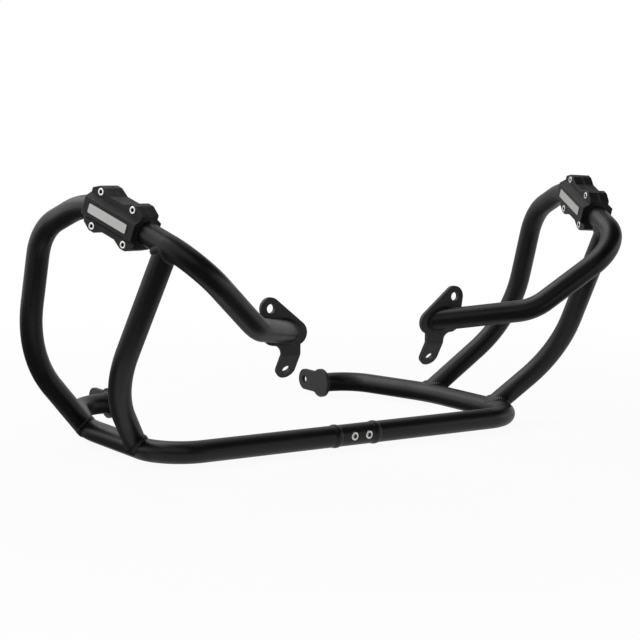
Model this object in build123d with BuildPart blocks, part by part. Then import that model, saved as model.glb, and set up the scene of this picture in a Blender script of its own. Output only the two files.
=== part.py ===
from build123d import *
from math import radians, tan
import os

# Motorcycle crash bars: two mirrored welded tube frames, bolted together at a half-lap joint under
# the engine, with a clamp-on slider pad on each frame.
# Millimetres. X runs across the bike, -Y is the front and Z is up. Places are given for the right
# frame: x out from the mid plane, y back from the crossbar's axis, z up from the lower loop's axis.

# Tube and its bends, as centreline radii
tube_od = 25.4
tube_wall = 2.0
tight_bend = 50.0
middle_bend = 62.0
crown_bend = 95.0
easy_bend = 160.0

# Lower loop: its side bends in towards the rear bracket, and rises a little
loop_half_width = 251.5
side_length = 188.0
rear_corner_x = 204.0
rear_y = 311.0
rear_rise = 3.0

# Hoop, from its foot on the lower tube over the top and back in to the upper bracket. Feet are
# placed by their run along the lower tube's centreline from the rear bracket, and the hoop's
# foot stands a little outside that line.
hoop_foot_run = 162.0
hoop_foot_out = 1.5
hoop_half_width = 347.5
knee_y = 141.0
knee_z = 99.5
shoulder_y = 99.0
shoulder_z = 243.0
crown_inset = 17.0
crown_y = 13.5
crown_z = 279.3
nose_inset = 63.0
nose_y = -136.0
nose_z = 223.0
elbow_x = 187.8
elbow_y = -93.0
elbow_z = 145.0
hoop_end_x = 108.4
hoop_end_z = 129.8

# Brace, from the lower tube up to the hoop's run between crown and nose
brace_foot_run = 293.0
brace_bend_inset = 37.5
brace_bend_y = 1.5
brace_bend_z = 76.0
brace_top_run = 121.0

# Brackets, cut from plate
plate_thickness = 5.0
plate_edge_round = 0.8
mount_hole_d = 10.5

# Upper bracket: its front face, and its outline from the middle of the tube's end
bracket_y = -21.5
upper_ear_x = 19.1
upper_ear_z = 26.5
upper_ear_radius = 12.5
heel_x = -14.9
heel_z = -2.5
heel_radius = 14.0
toe_x = 14.1
toe_radius = 13.0
lower_ear_x = -8.4
lower_ear_radius = 12.0
lower_ear_drop = 21.0
fold_z = -27.0
fold_angle = 31.0
fold_radius = 8.0
bracket_fillet = 10.0

# Rear bracket: inner face, disc round the tube's end and ear behind it
rear_plate_x = 157.0
rear_disc_radius = 19.0
rear_ear_offset = 38.0
rear_ear_radius = 14.0
rear_fillet = 8.0

# Half-lap coupling in the middle of the crossbar
coupling_half_length = 27.0
collar_length = 3.0
tongue_gap = 1.5
spigot_length = 22.0
spigot_clearance = 0.15
lap_bolt_d = 6.0
lap_head_d = 10.0
lap_head_height = 6.0
lap_socket = 5.0
lap_socket_depth = 3.0
lap_bolt_spacing = 20.0
lap_bolt_offset = 4.0
lap_seat = 6.4
lap_bolt_reach = 10.0
lap_thread_spare = 1.0

# Fits of screws and bores
hole_clearance = 0.3
thread_clearance = 0.05
head_clearance = 0.5
pad_clearance = 0.15

# Slider pad, clamped to the hoop between crown and nose. Its face points to the left on both sides,
# and its middle is placed by its run from the end of the crown's bend.
pad_run = 11.7825
pad_turn_left = 8.0
pad_turn_right = -3.0
pad_length = 77.0
pad_waist_width = 39.5
pad_waist_length = 19.5
pad_ear_width = 50.0
pad_ear_inner = 41.0
pad_ear_outer = 56.0
pad_end_width = 38.0
pad_ear_height = 12.5
pad_split_gap = 1.0
pad_corner_round = 2.0
pad_edge_round = 0.7
rib_height = 19.5
rib_base_width = 28.0
rib_top_width = 19.0
pad_bolt_spacing = 49.0
pad_bolt_span = 38.5
pad_bolt_d = 5.0
pad_head_d = 8.5
pad_head_height = 5.0
pad_head_recess = 4.0
pad_bolt_length = 20.0
pad_socket = 4.0
pad_socket_depth = 2.5
nut_width = 8.0
nut_height = 4.0
nut_pocket_depth = 4.5
nut_clearance = 0.1
badge_length = 58.0
badge_width = 10.0
badge_thickness = 0.8
badge_corner = 1.5

# Weld beads
root_gap = 0.25
bead_clearance = 0.05
weld_size = 4.0
plate_weld_size = 3.0
ring_weld_width = 10.0
ring_weld_height = 1.2

tube_radius = tube_od / 2
tube_bore = tube_radius - tube_wall
pad_bolt_hole = pad_bolt_d / 2 + hole_clearance
lap_bolt_hole = lap_bolt_d / 2 + hole_clearance
rear_plate_outer_x = rear_plate_x + plate_thickness
hoop_cut_size = 4 * tube_od

# Corners of the three tube routes on the right frame
crown = Vector(hoop_half_width - crown_inset, crown_y, crown_z)
nose = Vector(hoop_half_width - nose_inset, nose_y, nose_z)
elbow = Vector(elbow_x, elbow_y, elbow_z)
shoulder = Vector(hoop_half_width, shoulder_y, shoulder_z)
top_run = (nose - crown).normalized()
crown_turn = (crown - shoulder).get_angle(top_run)
crown_bend_run = crown_bend * tan(radians(crown_turn / 2))
hoop_end = Vector(hoop_end_x, bracket_y, hoop_end_z)
hoop_overrun = hoop_end + (hoop_end - elbow).normalized() * tube_od
lower_bends = [tight_bend, easy_bend, tight_bend]
lower_corners = [
    Vector(rear_plate_outer_x, rear_y, rear_rise),
    Vector(rear_corner_x, rear_y, rear_rise),
    Vector(loop_half_width, side_length, 0),
    Vector(loop_half_width, 0, 0),
    Vector(coupling_half_length, 0, 0),
]
with BuildLine() as lower_guide:
    FilletPolyline(*lower_corners, radius=lower_bends)
lower_centre = lower_guide.wire()
hoop_foot = lower_centre.position_at(hoop_foot_run, position_mode=PositionMode.LENGTH)
hoop_bends = [easy_bend, middle_bend, crown_bend, tight_bend, middle_bend]
hoop_corners = [
    hoop_foot + Vector(hoop_foot_out, 0, 0),
    Vector(hoop_half_width, knee_y, knee_z),
    shoulder,
    crown,
    nose,
    elbow,
    hoop_overrun,
]
brace_corners = [
    lower_centre.position_at(brace_foot_run, position_mode=PositionMode.LENGTH),
    Vector(hoop_half_width - brace_bend_inset, brace_bend_y, brace_bend_z),
    crown + top_run * brace_top_run,
]

# The origin is under the middle of the whole object, on the surface that it stands on
with BuildLine() as hoop_guide:
    FilletPolyline(*hoop_corners, radius=hoop_bends)
front_reach = hoop_guide.line.bounding_box().min.Y - tube_radius
rear_reach = rear_y + rear_ear_offset + rear_ear_radius
base = Plane((0, -(front_reach + rear_reach) / 2, rear_disc_radius - rear_rise))


def spot(x, y, z):
    """A place of the right frame, in the object's own frame."""
    return base.from_local_coords(Vector(x, y, z))


def route(corners, bends):
    """A tube's centreline: straight runs with tangent arcs."""
    with BuildLine() as line:
        FilletPolyline(*[base.from_local_coords(corner) for corner in corners], radius=bends)
    return line.wire()


def bar(path, radius):
    """A round solid along a centreline, used as a cutter or as a bead's envelope."""
    with BuildPart() as solid:
        with BuildSketch(Plane(origin=path @ 0, z_dir=path % 0)):
            Circle(radius)
        sweep(path=path)
    return solid.part


def tube(path, cutters):
    """A hollow tube along a centreline, with its ends coped by the cutters."""
    with BuildPart() as hollow:
        with BuildSketch(Plane(origin=path @ 0, z_dir=path % 0)):
            Circle(tube_radius)
            Circle(tube_bore, mode=Mode.SUBTRACT)
        sweep(path=path)
        for cutter in cutters:
            add(cutter, mode=Mode.SUBTRACT)
    return hollow


def saddle_bead(branch, main):
    """The bead in the corner between a branch tube's end and the tube that it stands on."""
    with BuildPart() as bead:
        add(bar(main, tube_radius + weld_size))
        add(bar(branch, tube_radius + weld_size + root_gap), mode=Mode.INTERSECT)
        add(bar(main, tube_radius), mode=Mode.SUBTRACT)
        add(bar(branch, tube_radius + bead_clearance), mode=Mode.SUBTRACT)
    return bead


def cap_screws(seat, spots, shank_d, head_d, head_height, socket, socket_depth, length):
    """Socket-head cap screws with their heads' undersides on the seat plane."""
    with BuildPart() as screws:
        with BuildSketch(seat):
            with Locations(*spots):
                Circle(head_d / 2)
        extrude(amount=head_height)
        with BuildSketch(seat.offset(head_height)):
            with Locations(*spots):
                RegularPolygon(radius=socket / 2, side_count=6, major_radius=False)
        extrude(amount=-socket_depth, mode=Mode.SUBTRACT)
        with BuildSketch(seat):
            with Locations(*spots):
                Circle(shank_d / 2)
        extrude(amount=-length)
    return screws


def save(piece, name):
    """Label a finished piece and write its file."""
    piece.part.label = name
    export_step(piece.part, f"parts/{name}.step")


def save_pair(piece, name):
    """Write a right-hand piece and its mirror image."""
    save(piece, f"right_{name}")
    with BuildPart() as twin:
        mirror(piece.part, about=Plane.YZ)
    save(twin, f"left_{name}")


os.makedirs("parts", exist_ok=True)

# Tubes
lower_path = route(lower_corners, lower_bends)
hoop_path = route(hoop_corners, hoop_bends)
brace_path = route(brace_corners, [easy_bend])
lower_cope = bar(lower_path, tube_radius + root_gap)
hoop_cope = bar(hoop_path, tube_radius + root_gap)

lower_tube = tube(lower_path, [])
save_pair(lower_tube, "lower_tube")

bracket_face = Plane(origin=spot(hoop_end_x, bracket_y, hoop_end_z), x_dir=(1, 0, 0), z_dir=(0, -1, 0))
with BuildPart() as hoop_cut:
    with BuildSketch(bracket_face):
        Rectangle(hoop_cut_size, hoop_cut_size)
    extrude(amount=-hoop_cut_size)
hoop_tube = tube(hoop_path, [lower_cope, hoop_cut.part])
save_pair(hoop_tube, "hoop_tube")

brace_tube = tube(brace_path, [lower_cope, hoop_cope])
save_pair(brace_tube, "brace_tube")

# Upper bracket: a flat plate with one ear, and a second ear folded back below the tube
fold_line = spot(hoop_end_x + lower_ear_x, bracket_y, hoop_end_z + fold_z)
fold_face = Plane(origin=fold_line, x_dir=(1, 0, 0), z_dir=(0, -1, 0)).rotated((fold_angle, 0, 0))
with BuildPart() as upper_bracket:
    with BuildSketch(bracket_face) as bracket_outline:
        with Locations((upper_ear_x, upper_ear_z)):
            Circle(upper_ear_radius)
        with Locations((heel_x, heel_z)):
            Circle(heel_radius)
        with Locations((toe_x, heel_z)):
            Circle(toe_radius)
        make_hull()
        with Locations((lower_ear_x, fold_z)):
            Rectangle(2 * lower_ear_radius, heel_z - fold_z, align=(Align.CENTER, Align.MIN))
        stem_corners = bracket_outline.vertices().filter_by_position(
            Axis.Y, fold_z, heel_z - toe_radius, inclusive=(False, True)
        )
        stem_corners = stem_corners.filter_by_position(
            Axis.X, lower_ear_x - lower_ear_radius, lower_ear_x + lower_ear_radius
        )
        fillet(stem_corners, radius=bracket_fillet)
    extrude(amount=-plate_thickness)
    with BuildSketch(fold_face):
        Rectangle(2 * lower_ear_radius, lower_ear_drop, align=(Align.CENTER, Align.MAX))
        with Locations((0, -lower_ear_drop)):
            Circle(lower_ear_radius)
    extrude(amount=-plate_thickness)
    with BuildSketch(bracket_face):
        with Locations((upper_ear_x, upper_ear_z)):
            Circle(mount_hole_d / 2)
    extrude(amount=-plate_thickness, mode=Mode.SUBTRACT)
    with BuildSketch(fold_face):
        with Locations((0, -lower_ear_drop)):
            Circle(mount_hole_d / 2)
    extrude(amount=-plate_thickness, mode=Mode.SUBTRACT)
    ridge = upper_bracket.edges().filter_by(Axis.X).sort_by_distance(fold_line)[0]
    fillet(ridge, radius=fold_radius)
    over_plate = bracket_face.from_local_coords(Vector(heel_x, heel_z, plate_thickness))
    over_ear = fold_face.from_local_coords(Vector(0, -lower_ear_drop / 2, plate_thickness))
    rim = ShapeList()
    for place in (over_plate, fold_line, over_ear):
        front = upper_bracket.faces().sort_by_distance(place)[0]
        rim += front.outer_wire().edges().filter_by(Axis.X, reverse=True)
    fillet(rim, radius=plate_edge_round)
save_pair(upper_bracket, "upper_bracket")

with BuildPart() as upper_bead:
    with BuildSketch(bracket_face):
        Rectangle(hoop_cut_size, hoop_cut_size)
    extrude(amount=plate_weld_size)
    add(bar(hoop_path, tube_radius + plate_weld_size), mode=Mode.INTERSECT)
    add(bar(hoop_path, tube_radius), mode=Mode.SUBTRACT)
save_pair(upper_bead, "upper_bracket_weld")

# Rear bracket: a disc on the tube's end and one ear behind it
rear_centre = spot(rear_plate_x, rear_y, rear_rise)
rear_face = Plane(origin=rear_centre, x_dir=(0, 1, 0), z_dir=(1, 0, 0))
with BuildPart() as rear_bracket:
    with BuildSketch(rear_face) as rear_outline:
        Circle(rear_disc_radius)
        with Locations((rear_ear_offset, 0)):
            Circle(rear_ear_radius)
        Rectangle(rear_ear_offset, 2 * rear_ear_radius, align=(Align.MIN, Align.CENTER))
        neck_corners = rear_outline.vertices().filter_by_position(
            Axis.X, 0, rear_ear_offset, inclusive=(False, False)
        )
        fillet(neck_corners, radius=rear_fillet)
    extrude(amount=plate_thickness)
    fillet(rear_bracket.edges().group_by(Axis.X)[0], radius=plate_edge_round)
    fillet(rear_bracket.edges().group_by(Axis.X)[-1], radius=plate_edge_round)
    with BuildSketch(rear_face):
        with Locations((rear_ear_offset, 0)):
            Circle(mount_hole_d / 2)
    extrude(amount=plate_thickness, mode=Mode.SUBTRACT)
save_pair(rear_bracket, "rear_bracket")

rear_end = spot(rear_plate_outer_x, rear_y, rear_rise)
with BuildPart() as rear_bead:
    with BuildSketch(Plane(origin=rear_end)):
        with BuildLine():
            Polyline(
                (0, tube_radius),
                (plate_weld_size, tube_radius),
                (0, tube_radius + plate_weld_size),
                close=True,
            )
        make_face()
    revolve(axis=Axis(rear_end, (1, 0, 0)))
save_pair(rear_bead, "rear_bracket_weld")

# Beads where the hoop and the brace stand on other tubes
save_pair(saddle_bead(hoop_path, lower_path), "hoop_foot_weld")
save_pair(saddle_bead(brace_path, lower_path), "brace_foot_weld")
brace_from_top = route(list(reversed(brace_corners)), [easy_bend])
save_pair(saddle_bead(brace_from_top, hoop_path), "brace_top_weld")

# Coupling in the crossbar
lap_face = Plane(origin=spot(lap_bolt_offset, -lap_seat, 0), x_dir=(1, 0, 0), z_dir=(0, -1, 0))
tongue_root = coupling_half_length - collar_length
tongue_length = 2 * tongue_root - tongue_gap


def coupling_half(side, keep):
    """A collar with a spigot in the tube's end and a half-round tongue across the joint."""
    with BuildPart() as half:
        with BuildSketch(Plane(origin=spot(side * coupling_half_length, 0, 0), z_dir=(side, 0, 0))):
            Circle(tube_bore - spigot_clearance)
        extrude(amount=spigot_length)
        with BuildSketch(Plane(origin=spot(side * tongue_root, 0, 0), z_dir=(side, 0, 0))):
            Circle(tube_radius)
        extrude(amount=collar_length)
        with BuildSketch(Plane(origin=spot(side * tongue_root, 0, 0), x_dir=(0, 1, 0), z_dir=(-side, 0, 0))):
            Circle(tube_radius)
            Rectangle(tube_od, tube_od, align=(keep, Align.CENTER), mode=Mode.INTERSECT)
        extrude(amount=tongue_length)
    return half


right_half = coupling_half(1, Align.MAX)
with BuildPart() as front_coupling:
    add(right_half.part)
    with BuildSketch(lap_face):
        with GridLocations(lap_bolt_spacing, 0, 2, 1):
            Circle(lap_head_d / 2 + head_clearance)
    extrude(amount=tube_radius, mode=Mode.SUBTRACT)
    with BuildSketch(lap_face):
        with GridLocations(lap_bolt_spacing, 0, 2, 1):
            Circle(lap_bolt_hole)
    extrude(amount=-lap_seat, mode=Mode.SUBTRACT)
save(front_coupling, "front_coupling")

left_half = coupling_half(-1, Align.MIN)
with BuildPart() as rear_coupling:
    add(left_half.part)
    with BuildSketch(lap_face.offset(-lap_seat)):
        with GridLocations(lap_bolt_spacing, 0, 2, 1):
            Circle(lap_bolt_d / 2 + thread_clearance)
    extrude(amount=-(lap_bolt_reach + lap_thread_spare), mode=Mode.SUBTRACT)
save(rear_coupling, "rear_coupling")

lap_spots = [(-lap_bolt_spacing / 2, 0), (lap_bolt_spacing / 2, 0)]
coupling_bolts = cap_screws(
    lap_face, lap_spots, lap_bolt_d, lap_head_d, lap_head_height, lap_socket, lap_socket_depth,
    lap_seat + lap_bolt_reach,
)
save(coupling_bolts, "coupling_bolts")

coupling_end = spot(coupling_half_length, 0, 0)
with BuildPart() as coupling_bead:
    with BuildSketch(Plane(origin=coupling_end)):
        with BuildLine():
            Polyline((ring_weld_width / 2, tube_radius), (-ring_weld_width / 2, tube_radius))
            ThreePointArc(
                (-ring_weld_width / 2, tube_radius),
                (0, tube_radius + ring_weld_height),
                (ring_weld_width / 2, tube_radius),
            )
        make_face()
    revolve(axis=Axis(coupling_end, (1, 0, 0)))
save_pair(coupling_bead, "coupling_weld")

# Slider pads
pad_middle = crown + top_run * (crown_bend_run + pad_run)
pad_spots = [
    (x * pad_bolt_spacing / 2, y * pad_bolt_span / 2) for x in (-1, 1) for y in (-1, 1)
]


def pad_face(side, turn):
    """The pad's middle plane: x along the tube to the front, facing left, turned about the tube."""
    run = Vector(side * top_run.X, top_run.Y, top_run.Z)
    left = Vector(-1, 0, 0)
    square = left - run * left.dot(run)
    middle = spot(side * pad_middle.X, pad_middle.Y, pad_middle.Z)
    return Plane(origin=middle, x_dir=run, z_dir=square.rotate(Axis((0, 0, 0), run), -turn))


def pad_half(face, bore):
    """One half of a pad: a slab with four ears and a rib over the tube, cut by the tube's bore."""
    x_points = [pad_waist_length / 2, pad_ear_inner / 2, pad_ear_outer / 2, pad_length / 2]
    y_points = [pad_waist_width / 2, pad_ear_width / 2, pad_ear_width / 2, pad_end_width / 2]
    corner = list(zip(x_points, y_points))
    outline = corner + [(x, -y) for x, y in reversed(corner)]
    outline = outline + [(-x, -y) for x, y in corner] + [(-x, y) for x, y in reversed(corner)]
    with BuildPart() as half:
        with BuildSketch(face.offset(pad_split_gap / 2)) as slab:
            with BuildLine():
                Polyline(*outline, close=True)
            make_face()
            fillet(slab.vertices(), radius=pad_corner_round)
        extrude(amount=pad_ear_height - pad_split_gap / 2)
        fillet(half.faces().sort_by(Axis(face.origin, face.z_dir))[-1].edges(), radius=pad_edge_round)
        rib_end = Plane(origin=face.origin - face.x_dir * pad_length / 2, x_dir=face.y_dir, z_dir=face.x_dir)
        with BuildSketch(rib_end):
            with BuildLine():
                Polyline(
                    (-rib_base_width / 2, pad_split_gap / 2),
                    (-rib_base_width / 2, pad_ear_height),
                    (-rib_top_width / 2, rib_height),
                    (rib_top_width / 2, rib_height),
                    (rib_base_width / 2, pad_ear_height),
                    (rib_base_width / 2, pad_split_gap / 2),
                    close=True,
                )
            make_face()
        extrude(amount=pad_length)
        rib_edges = half.faces().sort_by(Axis(face.origin, face.z_dir))[-1].edges()
        fillet(rib_edges, radius=pad_edge_round)
        add(bore, mode=Mode.SUBTRACT)
        with BuildSketch(face):
            with Locations(*pad_spots):
                Circle(pad_bolt_hole)
        extrude(amount=pad_ear_height, mode=Mode.SUBTRACT)
    return half


def save_pad(name, side, turn):
    """Write the two halves, the plate, the screws and the nuts of one pad."""
    face = pad_face(side, turn)
    back = Plane(origin=face.origin, x_dir=face.x_dir, z_dir=-face.z_dir)
    path = route([Vector(side * p.X, p.Y, p.Z) for p in hoop_corners], hoop_bends)
    bore = bar(path, tube_radius + pad_clearance)
    front_half = pad_half(face, bore)
    with BuildPart() as outer:
        add(front_half.part)
        with BuildSketch(face.offset(pad_ear_height)):
            with Locations(*pad_spots):
                Circle(pad_head_d / 2 + head_clearance)
        extrude(amount=-pad_head_recess, mode=Mode.SUBTRACT)
    save(outer, f"{name}_pad_outer")
    back_half = pad_half(back, bore)
    with BuildPart() as inner:
        add(back_half.part)
        with BuildSketch(back.offset(pad_ear_height)):
            with Locations(*pad_spots):
                RegularPolygon(radius=nut_width / 2 + nut_clearance, side_count=6, major_radius=False)
        extrude(amount=-nut_pocket_depth, mode=Mode.SUBTRACT)
    save(inner, f"{name}_pad_inner")
    with BuildPart() as badge:
        with BuildSketch(face.offset(rib_height)):
            RectangleRounded(badge_length, badge_width, badge_corner)
        extrude(amount=badge_thickness)
    save(badge, f"{name}_pad_badge")
    seat = face.offset(pad_ear_height - pad_head_recess)
    screws = cap_screws(
        seat, pad_spots, pad_bolt_d, pad_head_d, pad_head_height, pad_socket, pad_socket_depth,
        pad_bolt_length,
    )
    save(screws, f"{name}_pad_bolts")
    with BuildPart() as nuts:
        with BuildSketch(back.offset(pad_ear_height - nut_pocket_depth)):
            with Locations(*pad_spots):
                RegularPolygon(radius=nut_width / 2, side_count=6, major_radius=False)
                Circle(pad_bolt_d / 2 + thread_clearance, mode=Mode.SUBTRACT)
        extrude(amount=nut_height)
    save(nuts, f"{name}_pad_nuts")


save_pad("right", 1, pad_turn_right)
save_pad("left", -1, pad_turn_left)
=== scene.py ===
import bpy
import numpy as np
from mathutils import Matrix, Vector


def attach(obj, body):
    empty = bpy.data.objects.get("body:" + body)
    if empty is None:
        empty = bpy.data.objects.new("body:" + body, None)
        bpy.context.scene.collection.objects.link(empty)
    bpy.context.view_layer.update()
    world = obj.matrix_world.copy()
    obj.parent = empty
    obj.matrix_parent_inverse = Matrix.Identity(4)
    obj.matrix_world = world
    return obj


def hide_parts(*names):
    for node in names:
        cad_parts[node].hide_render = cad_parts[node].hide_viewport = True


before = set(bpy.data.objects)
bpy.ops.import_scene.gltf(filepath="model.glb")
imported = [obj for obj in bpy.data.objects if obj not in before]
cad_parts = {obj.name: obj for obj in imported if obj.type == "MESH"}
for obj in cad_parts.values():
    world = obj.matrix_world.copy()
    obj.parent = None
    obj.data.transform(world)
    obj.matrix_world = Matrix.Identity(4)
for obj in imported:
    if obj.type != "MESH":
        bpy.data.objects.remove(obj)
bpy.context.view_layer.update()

bl_info = {
    "name": "Crash bars",
    "version": (1, 0, 0),
    "blender": (4, 5, 0),
    "location": "View3D > Sidebar > Crash bars",
    "description": "Dresses the crash bars' solids: coat, weld beads, screws, slider pads and a studio",
    "category": "Object",
}

MM = 0.001

TUBES = ("lower_tube", "hoop_tube", "brace_tube")
PLATES = ("upper_bracket", "rear_bracket")
SIDES = {"right": 1.0, "left": -1.0}

# Corners of the right frame's tubes in millimetres, out from the mid plane, back from the crossbar's
# axis and up from the lower loop's axis, and where that point is in the object's frame.
BASE = np.array([0.0, -113.0891, 16.0])
LOWER = np.array([[162, 311, 3], [204, 311, 3], [251.5, 188, 0], [251.5, 0, 0], [27, 0, 0]], float)
HOOP = np.array(
    [[249.694, 190.5125, 0.2088], [347.5, 141, 99.5], [347.5, 99, 243], [330.5, 13.5, 279.3],
     [284.5, -136, 223], [187.8, -93, 145], [108.4, -21.5, 129.8]], float
)
BRACE = np.array([[251.5, 59.7379, 0], [310, 1.5, 76], [297.0184, -95.3152, 238.3214]], float)

# Bend radii in millimetres: the easy bend in the side of the lower tube, and the tight bends at the
# front corner and the nose of the hoop.
EASY_BEND, TIGHT_BEND = 160, 50

# The coupling's screws in millimetres: where the heads sit, at the middle of the joint, how far each is
# from there along the crossbar, and their sizes.
LAP_SEAT = [4, -6.4, 0]
LAP_SCREW_ALONG = 10
LAP_SCREW = {"shank": 6, "head": 10, "height": 6, "socket": 5, "depth": 3, "length": 16.4}

# The pads in millimetres: how far their middle is along the hoop from the crown's corner, where the
# screws are along and across the tube, how far out the heads sit and how far in the nuts, and the sizes
# of both. Each pad is turned a little on its tube.
PAD_ALONG = 49
PAD_SCREW_ALONG, PAD_SCREW_ACROSS = 24.5, 19.25
PAD_HEAD_SEAT, PAD_NUT_SEAT = 8.5, 8
PAD_SCREW = {"shank": 5, "head": 8.5, "height": 5, "socket": 4, "depth": 2.5, "length": 20}
PAD_NUT = {"flats": 8, "height": 4, "bore": 2.55}
PAD_TURNS = {"right": np.radians(3), "left": np.radians(-8)}

# How far along a branch tube the root line of its bead is looked for, and how deep a bead's underside
# lies below the surfaces that it joins.
BEAD_REACH = 60 * MM
BEAD_SINK = 0.5 * MM

# A direction that no axis of a tube, screw or nut follows, from which the angles round them start.
OFF_AXIS = [0.31, 0.87, 0.39]

# Neighbouring faces that meet at more than this angle show a sharp edge.
SHARP_EDGE = np.radians(38)

# The span that noise mostly keeps to, from which roughness is mapped.
NOISE_SPAN = {"From Min": 0.3, "From Max": 0.7}

WHITE = (1, 1, 1, 1)
SENSOR_WIDTH = 36.0


def linear(hex_colour):
    """The linear RGBA value of an sRGB hex colour."""
    srgb = np.array([int(hex_colour[i:i + 2], 16) for i in (1, 3, 5)]) / 255
    rgb = np.where(srgb <= 0.04045, srgb / 12.92, ((srgb + 0.055) / 1.055) ** 2.4)
    return (*rgb.tolist(), 1.0)


def per_mm(size):
    """The texture scale whose features are about this many millimetres across."""
    return 1 / (size * MM)


def in_metres(sizes):
    """A table of sizes in millimetres, as metres."""
    return {name: size * MM for name, size in sizes.items()}


def unit(vector):
    """Vectors scaled to length one."""
    return vector / np.linalg.norm(vector, axis=-1, keepdims=True)


def placed(corners, side):
    """Corners of the right frame as metres in the object's frame, mirrored for the left one."""
    return (np.asarray(corners, float) + BASE) * np.array([side, 1, 1]) * MM


def add_node(tree, kind, settings=None, inputs=None):
    """Add one node with its settings. Each input is a value, or a socket that is linked to it."""
    node = tree.nodes.new(kind)
    for field, value in (settings or {}).items():
        setattr(node, field, value)
    for key, value in (inputs or {}).items():
        if isinstance(value, bpy.types.NodeSocket):
            tree.links.new(value, node.inputs[key])
        else:
            node.inputs[key].default_value = value
    return node


def new_material(name):
    """An empty node material and its output node."""
    material = bpy.data.materials.new(name)
    material.use_nodes = True
    material.node_tree.nodes.clear()
    return material, material.node_tree, add_node(material.node_tree, "ShaderNodeOutputMaterial")


class CrashBarSizes(bpy.types.PropertyGroup):
    """Sizes of what is added to the solids."""

    tube_radius: bpy.props.FloatProperty(
        name="Tube radius", description="Outer radius of the frame's tubes", default=12.7 * MM,
        min=0.001, unit="LENGTH")
    saddle_leg: bpy.props.FloatProperty(
        name="Saddle bead", description="Leg of the beads between two tubes", default=4.0 * MM,
        min=0.001, unit="LENGTH")
    plate_leg: bpy.props.FloatProperty(
        name="Plate bead", description="Leg of the beads between a tube and a plate", default=3.0 * MM,
        min=0.001, unit="LENGTH")
    ring_width: bpy.props.FloatProperty(
        name="Ring bead width", description="Width of the beads round the crossbar", default=9.6 * MM,
        min=0.001, unit="LENGTH")
    ring_height: bpy.props.FloatProperty(
        name="Ring bead height", description="Height of the beads round the crossbar", default=1.1 * MM,
        min=0.0001, unit="LENGTH")
    ripple_pitch: bpy.props.FloatProperty(
        name="Ripple pitch", description="Distance between two ripples of a bead", default=2.4 * MM,
        min=0.0005, unit="LENGTH")
    ripple_height: bpy.props.FloatProperty(
        name="Ripple height", description="Height of a bead's ripples", default=0.32 * MM,
        min=0.0, unit="LENGTH")


class CrashBarColours(bpy.types.PropertyGroup):
    """Colours of the finishes."""

    coat: bpy.props.FloatVectorProperty(
        name="Powder coat", description="Black of the coated steel", subtype="COLOR", size=4,
        default=linear("#08080a"), min=0, max=1)
    coat_light: bpy.props.FloatVectorProperty(
        name="Powder coat, light", description="Palest tone of the coat's mottle", subtype="COLOR", size=4,
        default=linear("#0e0e10"), min=0, max=1)
    # Painted light: the coat on the plates is painted paler than on the tubes, for the brighter look of the
    # rougher plates.
    plate: bpy.props.FloatVectorProperty(
        name="Coat on plate", description="Black of the coated brackets", subtype="COLOR", size=4,
        default=linear("#252526"), min=0, max=1)
    plate_light: bpy.props.FloatVectorProperty(
        name="Coat on plate, light", description="Palest tone of the coated brackets", subtype="COLOR",
        size=4, default=linear("#313132"), min=0, max=1)
    nylon: bpy.props.FloatVectorProperty(
        name="Pad nylon", description="Black of the moulded pads", subtype="COLOR", size=4,
        default=linear("#161616"), min=0, max=1)
    nylon_light: bpy.props.FloatVectorProperty(
        name="Pad nylon, light", description="Palest tone of the moulded pads", subtype="COLOR", size=4,
        default=linear("#1f1f20"), min=0, max=1)
    # Painted highlight: the grey that the pads' outer edges are painted, for the light they catch.
    nylon_edge_highlight: bpy.props.FloatVectorProperty(
        name="Nylon edges", description="Grey of the rubbed edges of the pads", subtype="COLOR", size=4,
        default=linear("#4c4c4d"), min=0, max=1)
    # Painted shade: the dark colour that the steel deep in the sockets is painted with.
    socket: bpy.props.FloatVectorProperty(
        name="Socket", description="Steel deep in the sockets", subtype="COLOR", size=4,
        default=linear("#2c2c2b"), min=0, max=1)
    steel: bpy.props.FloatVectorProperty(
        name="Screw steel", description="Bright steel of the screws", subtype="COLOR", size=4,
        default=linear("#dcdcd9"), min=0, max=1)
    badge: bpy.props.FloatVectorProperty(
        name="Plate aluminium", description="Grey of the plain plates on the pads", subtype="COLOR", size=4,
        default=linear("#b9b9b7"), min=0, max=1)
    floor: bpy.props.FloatVectorProperty(
        name="Floor", description="Pale floor", subtype="COLOR", size=4,
        default=linear("#f4f4f4"), min=0, max=1)


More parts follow.
